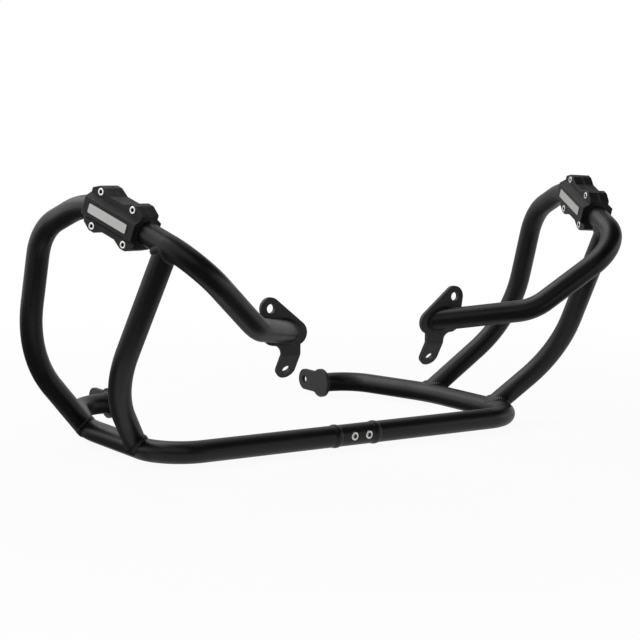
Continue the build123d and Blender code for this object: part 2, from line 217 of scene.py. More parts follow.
class CrashBarStudio(bpy.types.PropertyGroup):
    """Camera and light."""

    camera_place: bpy.props.FloatVectorProperty(
        name="Camera place", description="Where the camera stands", subtype="TRANSLATION", size=3,
        default=(-1.1781, -1.8242, 0.4160))
    azimuth: bpy.props.FloatProperty(
        name="Azimuth", description="Direction of view, from +Y towards +X", default=np.radians(33.43),
        subtype="ANGLE")
    elevation: bpy.props.FloatProperty(
        name="Elevation", description="How far the camera looks down", default=np.radians(7.32),
        subtype="ANGLE")
    roll: bpy.props.FloatProperty(
        name="Roll", description="Turn of the picture", default=np.radians(0.66), subtype="ANGLE")
    lens: bpy.props.FloatProperty(
        name="Lens", description="Focal length in millimetres on a 36 mm sensor", default=102.2, min=1)
    fill: bpy.props.FloatProperty(
        name="Fill", description="Level of the light from all round", default=0.1, min=0)
    top_box: bpy.props.FloatProperty(
        name="Top box", description="Power of the soft box above and to the left, in watts",
        default=36.0, min=0)
    side_box: bpy.props.FloatProperty(
        name="Side boxes", description="Power of each soft box at the sides, in watts", default=8.0, min=0)
    front_box: bpy.props.FloatProperty(
        name="Front box", description="Power of the soft box above the camera, in watts",
        default=1.2, min=0)
    floor_white: bpy.props.FloatProperty(
        name="White floor", description="Distance at which the floor has turned plain white",
        default=1.3, min=0.1, unit="LENGTH")
    tent_front: bpy.props.FloatProperty(
        name="Tent front", description="Distance in front of the middle where the grey cloth begins",
        default=0.23, unit="LENGTH")
    tent_inside: bpy.props.FloatProperty(
        name="Tent inside", description="How far the cloth inside the loop comes forward of the middle",
        default=0.09, unit="LENGTH")
    tent_roof: bpy.props.FloatProperty(
        name="Tent roof", description="Height of the dark cloth overhead", default=0.8, unit="LENGTH")
    tent_back: bpy.props.FloatProperty(
        name="Tent back", description="Distance behind the middle where the roof ends",
        default=0.1, unit="LENGTH")
    tent_left: bpy.props.FloatProperty(
        name="Tent left", description="Distance left of the middle where the roof ends",
        default=0.45, unit="LENGTH")
    tent_turn: bpy.props.FloatProperty(
        name="Tent turn", description="How far the dark wall reaches to each side of the camera",
        default=np.radians(42), subtype="ANGLE")
    # Painted shadow, in part: the grey sheets left of the loop and along the lower tubes paint the floor's
    # shadow in reflections.
    tent_grey: bpy.props.FloatProperty(
        name="Tent grey", description="Level of the grey cloth on the floor", default=0.10, min=0)
    # Painted reflection: the sheet inside the loop stands for the lit floor seen in reflections.
    tent_inner: bpy.props.FloatProperty(
        name="Tent inner", description="Level of the cloth on the floor inside the loop",
        default=0.45, min=0)
    # Painted shadow: the grey strips along the lower tubes stand for the floor's shadow seen in
    # reflections.
    floor_shadow_half_width: bpy.props.FloatProperty(
        name="Tent ribbon", description="Half width of the grey cloth along the lower tubes",
        default=0.05, unit="LENGTH")
    tent_pale: bpy.props.FloatProperty(
        name="Tent pale", description="Level of the pale cloth all round", default=0.7, min=0)


def tube_stretch(corners, bend):
    """A tube's outer surface along the run from corner 0 to corner 1 and round the bend there.

    The nearest point of the axis to p is on the straight run before the bend's start, and after it on
    the arc round its centre. The height of p is its distance from that point less the tube's radius,
    and the normal points from that point to p.
    """
    first = unit(corners[1] - corners[0])
    second = unit(corners[2] - corners[1])
    inward = unit(second - (second @ first) * first)
    sweep = np.arccos(np.clip(first @ second, -1, 1))
    start = corners[1] - first * bend * np.tan(sweep / 2)
    centre = start + inward * bend

    def surface(points, radius):
        run = np.minimum((points - start) @ first, 0)
        straight = start + run[..., None] * first
        spoke = points - centre
        angle = np.clip(np.arctan2(spoke @ first, -(spoke @ inward)), 0, sweep)
        arc = centre + bend * (np.sin(angle)[..., None] * first - np.cos(angle)[..., None] * inward)
        away_line = np.linalg.norm(points - straight, axis=-1)
        away_arc = np.linalg.norm(points - arc, axis=-1)
        near = np.where((away_line < away_arc)[..., None], straight, arc)
        return np.minimum(away_line, away_arc) - radius, unit(points - near)

    return surface


def plate_face(point, normal):
    """A flat plate: the height of p is its distance along the normal."""

    def surface(points, radius):
        return (points - point) @ normal, np.broadcast_to(normal, points.shape)

    return surface


def spokes_round(axis, around):
    """Even angles round an axis, and at each angle a the spoke u cos a + v sin a, square to the axis."""
    side = unit(np.cross(axis, OFF_AXIS))
    up = np.cross(axis, side)
    angle = np.linspace(0, 2 * np.pi, around, endpoint=False)
    return angle, np.cos(angle)[:, None] * side + np.sin(angle)[:, None] * up


def bead_grid(origin, away, surface, start, radius, leg, pitch, ripple):
    """A rippled fillet bead round the foot of a branch tube, as a grid of closed sections.

    The root at angle a lies just inside the branch's skin, at origin + s away + inset radius (u cos a +
    v sin a), with s where the height above the other surface is nil, found by halving. The two toes are
    one leg from the root, along each surface and square to the root line. The face runs from toe to toe,
    lifted in the middle by a share of the leg, and by ripples |sin| of the length along the root over the
    pitch, bowed back at the toes.
    """
    around, across, halvings = 480, 13, 40
    inset, lifted, bow = 0.97, 0.16, 0.9
    spoke = spokes_round(away, around)[1]
    foot = origin + inset * radius * spoke
    low, high = np.full(around, start), np.full(around, BEAD_REACH)
    for _ in range(halvings):
        middle = (low + high) / 2
        inside = surface(foot + middle[:, None] * away, radius)[0] < 0
        low, high = np.where(inside, middle, low), np.where(inside, high, middle)
    root = foot + low[:, None] * away
    along = unit(np.roll(root, -1, 0) - np.roll(root, 1, 0))
    main_normal = surface(root, radius)[1]
    aside = np.cross(along, main_normal)
    main_toe = root + leg * unit(aside) * np.sign(np.sum(aside * spoke, -1, keepdims=True).mean())
    height, normal = surface(main_toe, radius)
    main_toe = main_toe - height[:, None] * normal
    lift = unit(np.cross(spoke, along))
    branch_toe = root + leg * lift * np.sign((lift @ away).mean())
    reach = (branch_toe - origin) @ away
    out = branch_toe - origin - reach[:, None] * away
    branch_toe = origin + reach[:, None] * away + radius * unit(out)
    face_normal = unit(main_normal + spoke)
    share = np.linspace(0, 1, across)[None, :, None]
    step = np.linalg.norm(np.roll(root, -1, 0) - root, axis=-1)
    length = np.concatenate([[0], np.cumsum(step)[:-1]])
    count = np.round(step.sum() / pitch)
    turns = (length / step.sum() * count)[:, None, None] + bow * (share - 0.5) ** 2
    dome = 4 * share * (1 - share)
    swell = lifted * leg * dome + ripple * (np.abs(np.sin(np.pi * turns)) - 0.5) * np.sqrt(dome)
    face = main_toe[:, None] * (1 - share) + branch_toe[:, None] * share + swell * face_normal[:, None]
    under = [branch_toe - BEAD_SINK * unit(out), root - BEAD_SINK * face_normal,
             main_toe - BEAD_SINK * normal]
    return np.concatenate([face, np.stack(under, 1)], 1)


def ring_grid(origin, axis, radius, width, height, pitch, ripple):
    """A low rippled bead round a butt joint, as a grid of closed sections.

    At angle a and place x across the bead the radius is the tube's plus height (1 - (2x / width)^2), with
    ripples |sin| of the length round the tube over the pitch, bowed in the middle.
    """
    around, across, bow = 360, 13, 0.8
    angle, spoke = spokes_round(axis, around)
    place = np.linspace(-1, 1, across)[None, :]
    count = np.round(2 * np.pi * radius / pitch)
    turns = angle[:, None] / (2 * np.pi) * count + bow * place ** 2
    crown = 1 - place ** 2
    out = radius + height * crown + ripple * (np.abs(np.sin(np.pi * turns)) - 1) * np.sqrt(crown)
    face = origin + place[..., None] * axis * width / 2 + out[..., None] * spoke[:, None]
    ends = np.array([[1.0], [-1.0]]) * axis * width / 2
    under = origin + ends + (radius - BEAD_SINK) * spoke[:, None]
    return np.concatenate([face, under], 1)


def hexagon(angle, flats):
    """Radius of a hexagon of this width across flats at an angle."""
    return flats / 2 / np.cos((angle + np.pi / 6) % (np.pi / 3) - np.pi / 6)


def turned_grid(origin, axis, rings):
    """A turned piece as a grid, from rings with a place along the axis and a radius at each angle.

    The point of a ring at angle a is origin + place axis + radius (u cos a + v sin a).
    """
    spoke = spokes_round(axis, len(rings[0][1]))[1]
    level = np.array([ring[0] for ring in rings])[None, :, None]
    out = np.stack([ring[1] for ring in rings], 1)[..., None]
    return origin + level * axis + out * spoke[:, None]


def screw_grid(origin, axis, shank, head, height, socket, depth, length):
    """A socket cap screw as rings round its axis, from the socket's floor to the shank's tip.

    The rings are a hexagon in the socket, a circle at the chamfers and the shank, and on the head's side
    a circle with a knurl of cosines, flattened between.
    """
    around, knurls = 192, 48
    knurl_depth, knurl_form, knurl_start = 0.11 * MM, 0.7, 0.12 * height
    drill_point, drill_tip = 0.1 * socket, 0.05
    socket_bevel, socket_lead = 0.04 * socket, 0.15 * MM
    bevel = 0.07 * head
    bevel_round, foot_bevel = 0.35 * bevel, 0.3 * bevel
    tip_start, tip_radius = 0.93 * length, 0.42 * shank
    angle, circle = np.linspace(0, 2 * np.pi, around, endpoint=False), np.ones(around)
    hole = hexagon(angle, socket)
    knurl = head / 2 - knurl_depth * (0.5 - 0.5 * np.cos(knurls * angle)) ** knurl_form
    rings = [
        (height - depth - drill_point, drill_tip * hole), (height - depth, hole),
        (height - socket_bevel, hole), (height, (hole.max() + socket_lead) * circle),
        (height, (head / 2 - bevel) * circle), (height - bevel_round, (head / 2 - bevel_round) * circle),
        (height - bevel, knurl), (height / 2, knurl), (knurl_start, knurl),
        (0.0, (head / 2 - foot_bevel) * circle), (0.0, shank / 2 * circle),
        (-tip_start, shank / 2 * circle), (-length, tip_radius * circle),
    ]
    return turned_grid(origin, axis, rings)


def nut_grid(origin, axis, flats, height, bore):
    """A hexagon nut as rings round its axis: its sides are a hexagon, cut at both faces by a cone.

    Near a face the radius is the lesser of the hexagon's and the cone's.
    """
    around = 144
    washer_share, cone_middle, cone_end, countersink = 0.96, 0.55 * MM, 1.2 * MM, 1.12 * bore
    circle = np.ones(around)
    outline = hexagon(np.linspace(0, 2 * np.pi, around, endpoint=False), flats)
    washer = washer_share * flats / 2 * circle
    shoulder, side = np.minimum(outline, washer + cone_middle), np.minimum(outline, washer + cone_end)
    shares = (0.06, 0.0, 0.0, 0.12, 0.2, 0.8, 0.88, 1.0, 1.0, 0.94)
    outs = (bore * circle, countersink * circle, washer, shoulder, side,
            side, shoulder, washer, countersink * circle, bore * circle)
    return turned_grid(origin, axis, [(share * height, out) for share, out in zip(shares, outs)])


def grid_faces(around, across, closed, first):
    """Quads between neighbouring rings of a grid, numbered from first.

    A closed grid's last ring is joined to its first one.
    """
    number = first + np.arange(around * across).reshape(around, across)
    if closed:
        number = np.concatenate([number, number[:, :1]], 1)
    turned = np.roll(number, -1, 0)
    return np.stack([number[:, :-1], turned[:, :-1], turned[:, 1:], number[:, 1:]], -1).reshape(-1, 4)


def make_piece(name, grids, closed, material, node):
    """One object from grids of sections, in place of a CAD node.

    Open grids are closed by fans. Faces are turned to point outwards.
    """
    points, faces, first = [], [], 0
    for grid in grids:
        around, across = grid.shape[:2]
        quads = grid_faces(around, across, closed, first)
        block = grid.reshape(-1, 3)
        corners = [quads[:, [0, 1, 2]], quads[:, [0, 2, 3]]]
        if not closed:
            tips = np.stack([grid[:, 0].mean(0), grid[:, -1].mean(0)])
            start_tip, end_tip = np.full((2, around), first + len(block)) + [[0], [1]]
            start_ring = first + np.arange(around) * across
            end_ring = start_ring + across - 1
            corners += [np.stack([start_tip, np.roll(start_ring, -1), start_ring], -1),
                        np.stack([end_tip, end_ring, np.roll(end_ring, -1)], -1)]
            block = np.concatenate([block, tips])
        corners = np.concatenate(corners)
        local = block[corners - first]
        volume = np.sum(np.cross(local[:, 0], local[:, 1]) * local[:, 2])
        faces.append(corners if volume > 0 else corners[:, ::-1])
        points.append(block)
        first += len(block)
    mesh = bpy.data.meshes.new(name)
    mesh.from_pydata(np.concatenate(points).tolist(), [], np.concatenate(faces).tolist())
    mesh.shade_smooth()
    mesh.set_sharp_from_angle(angle=SHARP_EDGE)
    mesh.materials.append(material)
    mesh.update()
    piece = bpy.data.objects.new(name, mesh)
    bpy.context.scene.collection.objects.link(piece)
    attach(piece, "root")
    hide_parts(node)
    return piece


def dress(node, material):
    """Give a CAD node's slots a material."""
    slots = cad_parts[node].material_slots
    if not slots:
        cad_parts[node].data.materials.append(material)
    for entry in slots:
        entry.material = material


def powder_coat(colours, on_plate=False):
    """Polyester powder coat on steel, sprayed and baked: near black, satin, with a fine pebbled skin.

    The slow flow of the melt is about 6 mm, and the tone drifts over 25 mm. The pebbles are drawn at
    0.9 mm, coarser than the real ones, so that they show. On cut plate the coat is less smooth than on
    drawn tube, and its colour is painted paler there: painted light for the brighter look of the
    rougher plates.
    """
    name = "black_powder_coat_on_plate" if on_plate else "black_powder_coat_on_tube"
    found = bpy.data.materials.get(name)
    if found:
        return found
    drift_size, flow_size, pebble_size = 25, 6, 0.9
    if on_plate:
        # Painted light: the plates take the paler colours.
        dark, pale = colours.plate, colours.plate_light
        smoothest, roughest, pebbled = 0.46, 0.56, 0.5
    else:
        dark, pale = colours.coat, colours.coat_light
        smoothest, roughest, pebbled = 0.34, 0.42, 0.22
    material, tree, output = new_material(name)
    place = add_node(tree, "ShaderNodeTexCoord").outputs["Object"]
    drift = add_node(tree, "ShaderNodeTexNoise", None,
                     {"Vector": place, "Scale": per_mm(drift_size), "Detail": 3})
    pebble = add_node(tree, "ShaderNodeTexNoise", None,
                      {"Vector": place, "Scale": per_mm(pebble_size), "Detail": 2})
    flow = add_node(tree, "ShaderNodeTexNoise", None,
                    {"Vector": place, "Scale": per_mm(flow_size), "Detail": 2})
    tone = add_node(tree, "ShaderNodeMix", {"data_type": "RGBA"},
                    {0: drift.outputs["Fac"], 6: dark, 7: pale})
    gloss = add_node(tree, "ShaderNodeMapRange", None,
                     {"Value": drift.outputs["Fac"], **NOISE_SPAN, "To Min": smoothest, "To Max": roughest})
    coarse = add_node(tree, "ShaderNodeBump", None,
                      {"Height": flow.outputs["Fac"], "Strength": 0.10, "Distance": 0.4 * MM})
    fine = add_node(tree, "ShaderNodeBump", None,
                    {"Height": pebble.outputs["Fac"], "Strength": pebbled, "Distance": 0.08 * MM,
                     "Normal": coarse.outputs["Normal"]})
    shader = add_node(tree, "ShaderNodeBsdfPrincipled", None,
                      {"Base Color": tone.outputs[2], "Roughness": gloss.outputs["Result"], "IOR": 1.5,
                       "Specular IOR Level": 0.35, "Normal": fine.outputs["Normal"]})
    tree.links.new(shader.outputs["BSDF"], output.inputs["Surface"])
    return material


def moulded_nylon(colours):
    """Glass-filled nylon, moulded in a spark-eroded tool: matt black with a fine even grain.

    The grain is drawn at 0.7 mm, coarser than the real one, so that it shows, and the tone clouds over
    8 mm. The outer edges are painted grey over about 1 mm, a painted highlight for the light they catch.
    """
    found = bpy.data.materials.get("moulded_black_nylon")
    if found:
        return found
    grain_size, cloud_size, edge_width = 0.7, 8, 1.2 * MM
    smoothest, roughest = 0.48, 0.58
    material, tree, output = new_material("moulded_black_nylon")
    place = add_node(tree, "ShaderNodeTexCoord").outputs["Object"]
    cells = add_node(tree, "ShaderNodeTexVoronoi", {"feature": "SMOOTH_F1"},
                     {"Vector": place, "Scale": per_mm(grain_size)})
    cloud = add_node(tree, "ShaderNodeTexNoise", None,
                     {"Vector": place, "Scale": per_mm(cloud_size), "Detail": 4})
    tone = add_node(tree, "ShaderNodeMix", {"data_type": "RGBA"},
                    {0: cloud.outputs["Fac"], 6: colours.nylon, 7: colours.nylon_light})
    gloss = add_node(tree, "ShaderNodeMapRange", None,
                     {"Value": cloud.outputs["Fac"], **NOISE_SPAN, "To Min": smoothest, "To Max": roughest})
    grain = add_node(tree, "ShaderNodeBump", None,
                     {"Height": cells.outputs["Distance"], "Strength": 0.3, "Distance": 0.1 * MM})
    # Painted highlight: outer edges, found by ambient occlusion inside the pad, are mixed towards the grey
    # edge colour.
    within = add_node(tree, "ShaderNodeAmbientOcclusion",
                      {"samples": 8, "inside": True, "only_local": True}, {"Distance": edge_width})
    highlighted = add_node(tree, "ShaderNodeMapRange", None,
                      {"Value": within.outputs["AO"], "From Min": 0.6, "From Max": 1.0,
                       "To Min": 1.0, "To Max": 0.0})
    skin = add_node(tree, "ShaderNodeMix", {"data_type": "RGBA"},
                    {0: highlighted.outputs["Result"], 6: tone.outputs[2], 7: colours.nylon_edge_highlight})
    shader = add_node(tree, "ShaderNodeBsdfPrincipled", None,
                      {"Base Color": skin.outputs[2], "Roughness": gloss.outputs["Result"], "IOR": 1.53,
                       "Specular IOR Level": 0.24, "Normal": grain.outputs["Normal"]})
    tree.links.new(shader.outputs["BSDF"], output.inputs["Surface"])
    return material


def bright_steel(colours):
    """Zinc-plated screw steel, turned and tumbled: bright, with fine scratches about 0.4 mm apart.

    Deep in the sockets the steel is darkened with painted shade, where surfaces within 3 mm close
    it in.
    """
    found = bpy.data.materials.get("zinc_plated_steel")
    if found:
        return found
    scratch_size, shade_reach = 0.4, 3 * MM
    smoothest, roughest = 0.22, 0.34
    material, tree, output = new_material("zinc_plated_steel")
    place = add_node(tree, "ShaderNodeTexCoord").outputs["Object"]
    scratch = add_node(tree, "ShaderNodeTexNoise", None,
                       {"Vector": place, "Scale": per_mm(scratch_size), "Detail": 3})
    gloss = add_node(tree, "ShaderNodeMapRange", None,
                     {"Value": scratch.outputs["Fac"], **NOISE_SPAN,
                      "To Min": smoothest, "To Max": roughest})
    relief = add_node(tree, "ShaderNodeBump", None,
                      {"Height": scratch.outputs["Fac"], "Strength": 0.12, "Distance": 0.03 * MM})
    # Painted shade: the steel turns to the socket colour where its own surfaces close it in within 3 mm.
    closed = add_node(tree, "ShaderNodeAmbientOcclusion", {"samples": 8, "only_local": True},
                      {"Distance": shade_reach})
    unshaded_share = add_node(tree, "ShaderNodeMapRange", None,
                      {"Value": closed.outputs["AO"], "From Min": 0.55, "From Max": 0.9})
    tone = add_node(tree, "ShaderNodeMix", {"data_type": "RGBA"},
                    {0: unshaded_share.outputs["Result"], 6: colours.socket, 7: colours.steel})
    shader = add_node(tree, "ShaderNodeBsdfPrincipled", None,
                      {"Base Color": tone.outputs[2], "Metallic": 1.0, "Roughness": gloss.outputs["Result"],
                       "Normal": relief.outputs["Normal"]})
    tree.links.new(shader.outputs["BSDF"], output.inputs["Surface"])
    return material


def brushed_plate(colours):
    """Brushed aluminium plate, lacquered: pale grey with hairlines about 0.3 mm apart along the pad."""
    found = bpy.data.materials.get("brushed_aluminium_plate")
    if found:
        return found
    hair_size, hair_stretch = 0.3, (1.0, 0.04, 1.0)
    smoothest, roughest = 0.34, 0.48
    material, tree, output = new_material("brushed_aluminium_plate")
    place = add_node(tree, "ShaderNodeTexCoord").outputs["Object"]
    stretched = add_node(tree, "ShaderNodeMapping", None, {"Vector": place, "Scale": hair_stretch})
    hairs = add_node(tree, "ShaderNodeTexNoise", None,
                     {"Vector": stretched.outputs["Vector"], "Scale": per_mm(hair_size), "Detail": 2})
    gloss = add_node(tree, "ShaderNodeMapRange", None,
                     {"Value": hairs.outputs["Fac"], **NOISE_SPAN, "To Min": smoothest, "To Max": roughest})
    relief = add_node(tree, "ShaderNodeBump", None,
                      {"Height": hairs.outputs["Fac"], "Strength": 0.15, "Distance": 0.03 * MM})
    shader = add_node(tree, "ShaderNodeBsdfPrincipled", None,
                      {"Base Color": colours.badge, "Metallic": 0.75, "Roughness": gloss.outputs["Result"],
                       "Normal": relief.outputs["Normal"]})
    tree.links.new(shader.outputs["BSDF"], output.inputs["Surface"])
    return material


def pad_frame(side, turn):
    """Middle, run, outward and across directions of a pad, whose face points to the left on both sides.

    The outward direction is the left one made square to the run, then turned about the run.
    """
    straight = unit(HOOP[4] - HOOP[3])
    run = straight * np.array([side, 1, 1])
    middle = placed(HOOP[3] + straight * PAD_ALONG, side)
    square = unit(np.array([-1.0, 0, 0]) + run[0] * run)
    outward = np.cos(turn) * square + np.sin(turn) * np.cross(run, square)
    return middle, run, outward, np.cross(outward, run)


class CRASHBARS_OT_coated_steel(bpy.types.Operator):
    """Coat the tubes, the brackets and the coupling"""

    bl_idname = "crash_bars.coated_steel"
    bl_label = "Coated steel"

    def execute(self, context):
        coat = powder_coat(context.scene.crash_bar_colours)
        plate_coat = powder_coat(context.scene.crash_bar_colours, on_plate=True)
        for side in SIDES:
            for part in TUBES:
                dress(f"{side}_{part}", coat)
            for part in PLATES:
                dress(f"{side}_{part}", plate_coat)
        dress("front_coupling", coat)
        dress("rear_coupling", coat)
        return {"FINISHED"}


class CRASHBARS_OT_saddle_welds(bpy.types.Operator):
    """Lay the beads where the hoop and the brace stand on other tubes"""

    bl_idname = "crash_bars.saddle_welds"
    bl_label = "Saddle welds"

    def execute(self, context):
        sizes = context.scene.crash_bar_sizes
        coat = powder_coat(context.scene.crash_bar_colours)
        easy, tight = EASY_BEND * MM, TIGHT_BEND * MM
        for name, side in SIDES.items():
            lower, hoop, brace = placed(LOWER, side), placed(HOOP, side), placed(BRACE, side)
            joints = {
                "hoop_foot_weld": (hoop[0], unit(hoop[1] - hoop[0]), tube_stretch(lower[1:4], easy)),
                "brace_foot_weld": (brace[0], unit(brace[1] - brace[0]), tube_stretch(lower[2:5], tight)),
                "brace_top_weld": (brace[2], unit(brace[1] - brace[2]), tube_stretch(hoop[3:6], tight)),
            }
            for weld, (foot, away, surface) in joints.items():
                grid = bead_grid(foot, away, surface, 0.0, sizes.tube_radius, sizes.saddle_leg,
                                 sizes.ripple_pitch, sizes.ripple_height)
                make_piece(f"{name}_{weld}_bead", [grid], True, coat, f"{name}_{weld}")
        return {"FINISHED"}


class CRASHBARS_OT_plate_welds(bpy.types.Operator):
    """Lay the beads where a tube ends on a bracket"""

    bl_idname = "crash_bars.plate_welds"
    bl_label = "Bracket welds"

    def execute(self, context):
        sizes = context.scene.crash_bar_sizes
        coat = powder_coat(context.scene.crash_bar_colours)
        for name, side in SIDES.items():
            lower, hoop = placed(LOWER, side), placed(HOOP, side)
            joints = {
                "upper_bracket_weld": (hoop[6], unit(hoop[5] - hoop[6]), np.array([0.0, -1, 0])),
                "rear_bracket_weld": (lower[0], unit(lower[1] - lower[0]), np.array([side, 0, 0])),
            }
            for weld, (end, away, normal) in joints.items():
                grid = bead_grid(end, away, plate_face(end, normal), -BEAD_REACH, sizes.tube_radius,
                                 sizes.plate_leg, sizes.ripple_pitch, sizes.ripple_height)
                make_piece(f"{name}_{weld}_bead", [grid], True, coat, f"{name}_{weld}")
        return {"FINISHED"}


class CRASHBARS_OT_ring_welds(bpy.types.Operator):
    """Lay the beads round the crossbar at the coupling"""

    bl_idname = "crash_bars.ring_welds"
    bl_label = "Coupling welds"

    def execute(self, context):
        sizes = context.scene.crash_bar_sizes
        coat = powder_coat(context.scene.crash_bar_colours)
        crossbar, low_ripple = np.array([1.0, 0, 0]), 0.6 * sizes.ripple_height
        for name, side in SIDES.items():
            grid = ring_grid(placed(LOWER[4], side), crossbar, sizes.tube_radius, sizes.ring_width,
                             sizes.ring_height, sizes.ripple_pitch, low_ripple)
            weld = f"{name}_coupling_weld"
            make_piece(f"{weld}_bead", [grid], True, coat, weld)
        return {"FINISHED"}


class CRASHBARS_OT_screws(bpy.types.Operator):
    """Make the socket cap screws of the coupling and the pads, and the pads' nuts"""

    bl_idname = "crash_bars.screws"
    bl_label = "Screws and nuts"

    def execute(self, context):
        steel = bright_steel(context.scene.crash_bar_colours)
        seat, front = placed(LAP_SEAT, 1.0), np.array([0.0, -1, 0])
        lap = [screw_grid(seat + np.array([x * MM, 0, 0]), front, **in_metres(LAP_SCREW))
               for x in (-LAP_SCREW_ALONG, LAP_SCREW_ALONG)]
        make_piece("coupling_cap_screws", lap, False, steel, "coupling_bolts")
        for name, side in SIDES.items():
            middle, run, outward, across = pad_frame(side, PAD_TURNS[name])
            spots = [middle + x * run * MM + y * across * MM
                     for x in (-PAD_SCREW_ALONG, PAD_SCREW_ALONG)
                     for y in (-PAD_SCREW_ACROSS, PAD_SCREW_ACROSS)]
            screws = [screw_grid(spot + PAD_HEAD_SEAT * MM * outward, outward, **in_metres(PAD_SCREW))
                      for spot in spots]
            make_piece(f"{name}_pad_cap_screws", screws, False, steel, f"{name}_pad_bolts")
            nuts = [nut_grid(spot - PAD_NUT_SEAT * MM * outward, -outward, **in_metres(PAD_NUT))
                    for spot in spots]
            make_piece(f"{name}_pad_hex_nuts", nuts, True, steel, f"{name}_pad_nuts")
        return {"FINISHED"}


class CRASHBARS_OT_pads(bpy.types.Operator):
    """Finish the slider pads and the plain plates on them"""

    bl_idname = "crash_bars.pads"
    bl_label = "Slider pads"

    def execute(self, context):
        nylon = moulded_nylon(context.scene.crash_bar_colours)
        plate = brushed_plate(context.scene.crash_bar_colours)
        for side in SIDES:
            dress(f"{side}_pad_outer", nylon)
            dress(f"{side}_pad_inner", nylon)
            dress(f"{side}_pad_badge", plate)
        return {"FINISHED"}


def white_to_the_eye(tree, lit, white, amount):
    """A shader mixed towards plain white where the eye or a mirror sees it, and as lit elsewhere."""
    rays = add_node(tree, "ShaderNodeLightPath")
    seen = add_node(tree, "ShaderNodeMath", {"operation": "MAXIMUM"},
                    {0: rays.outputs["Is Camera Ray"], 1: rays.outputs["Is Glossy Ray"]})
    seen = add_node(tree, "ShaderNodeMath", {"operation": "MAXIMUM"},
                    {0: seen.outputs[0], 1: rays.outputs["Is Transmission Ray"]})
    share = add_node(tree, "ShaderNodeMath", {"operation": "MULTIPLY"}, {0: seen.outputs[0], 1: amount})
    mixed = add_node(tree, "ShaderNodeMixShader", None, {0: share.outputs[0], 1: lit, 2: white})
    return mixed.outputs["Shader"]


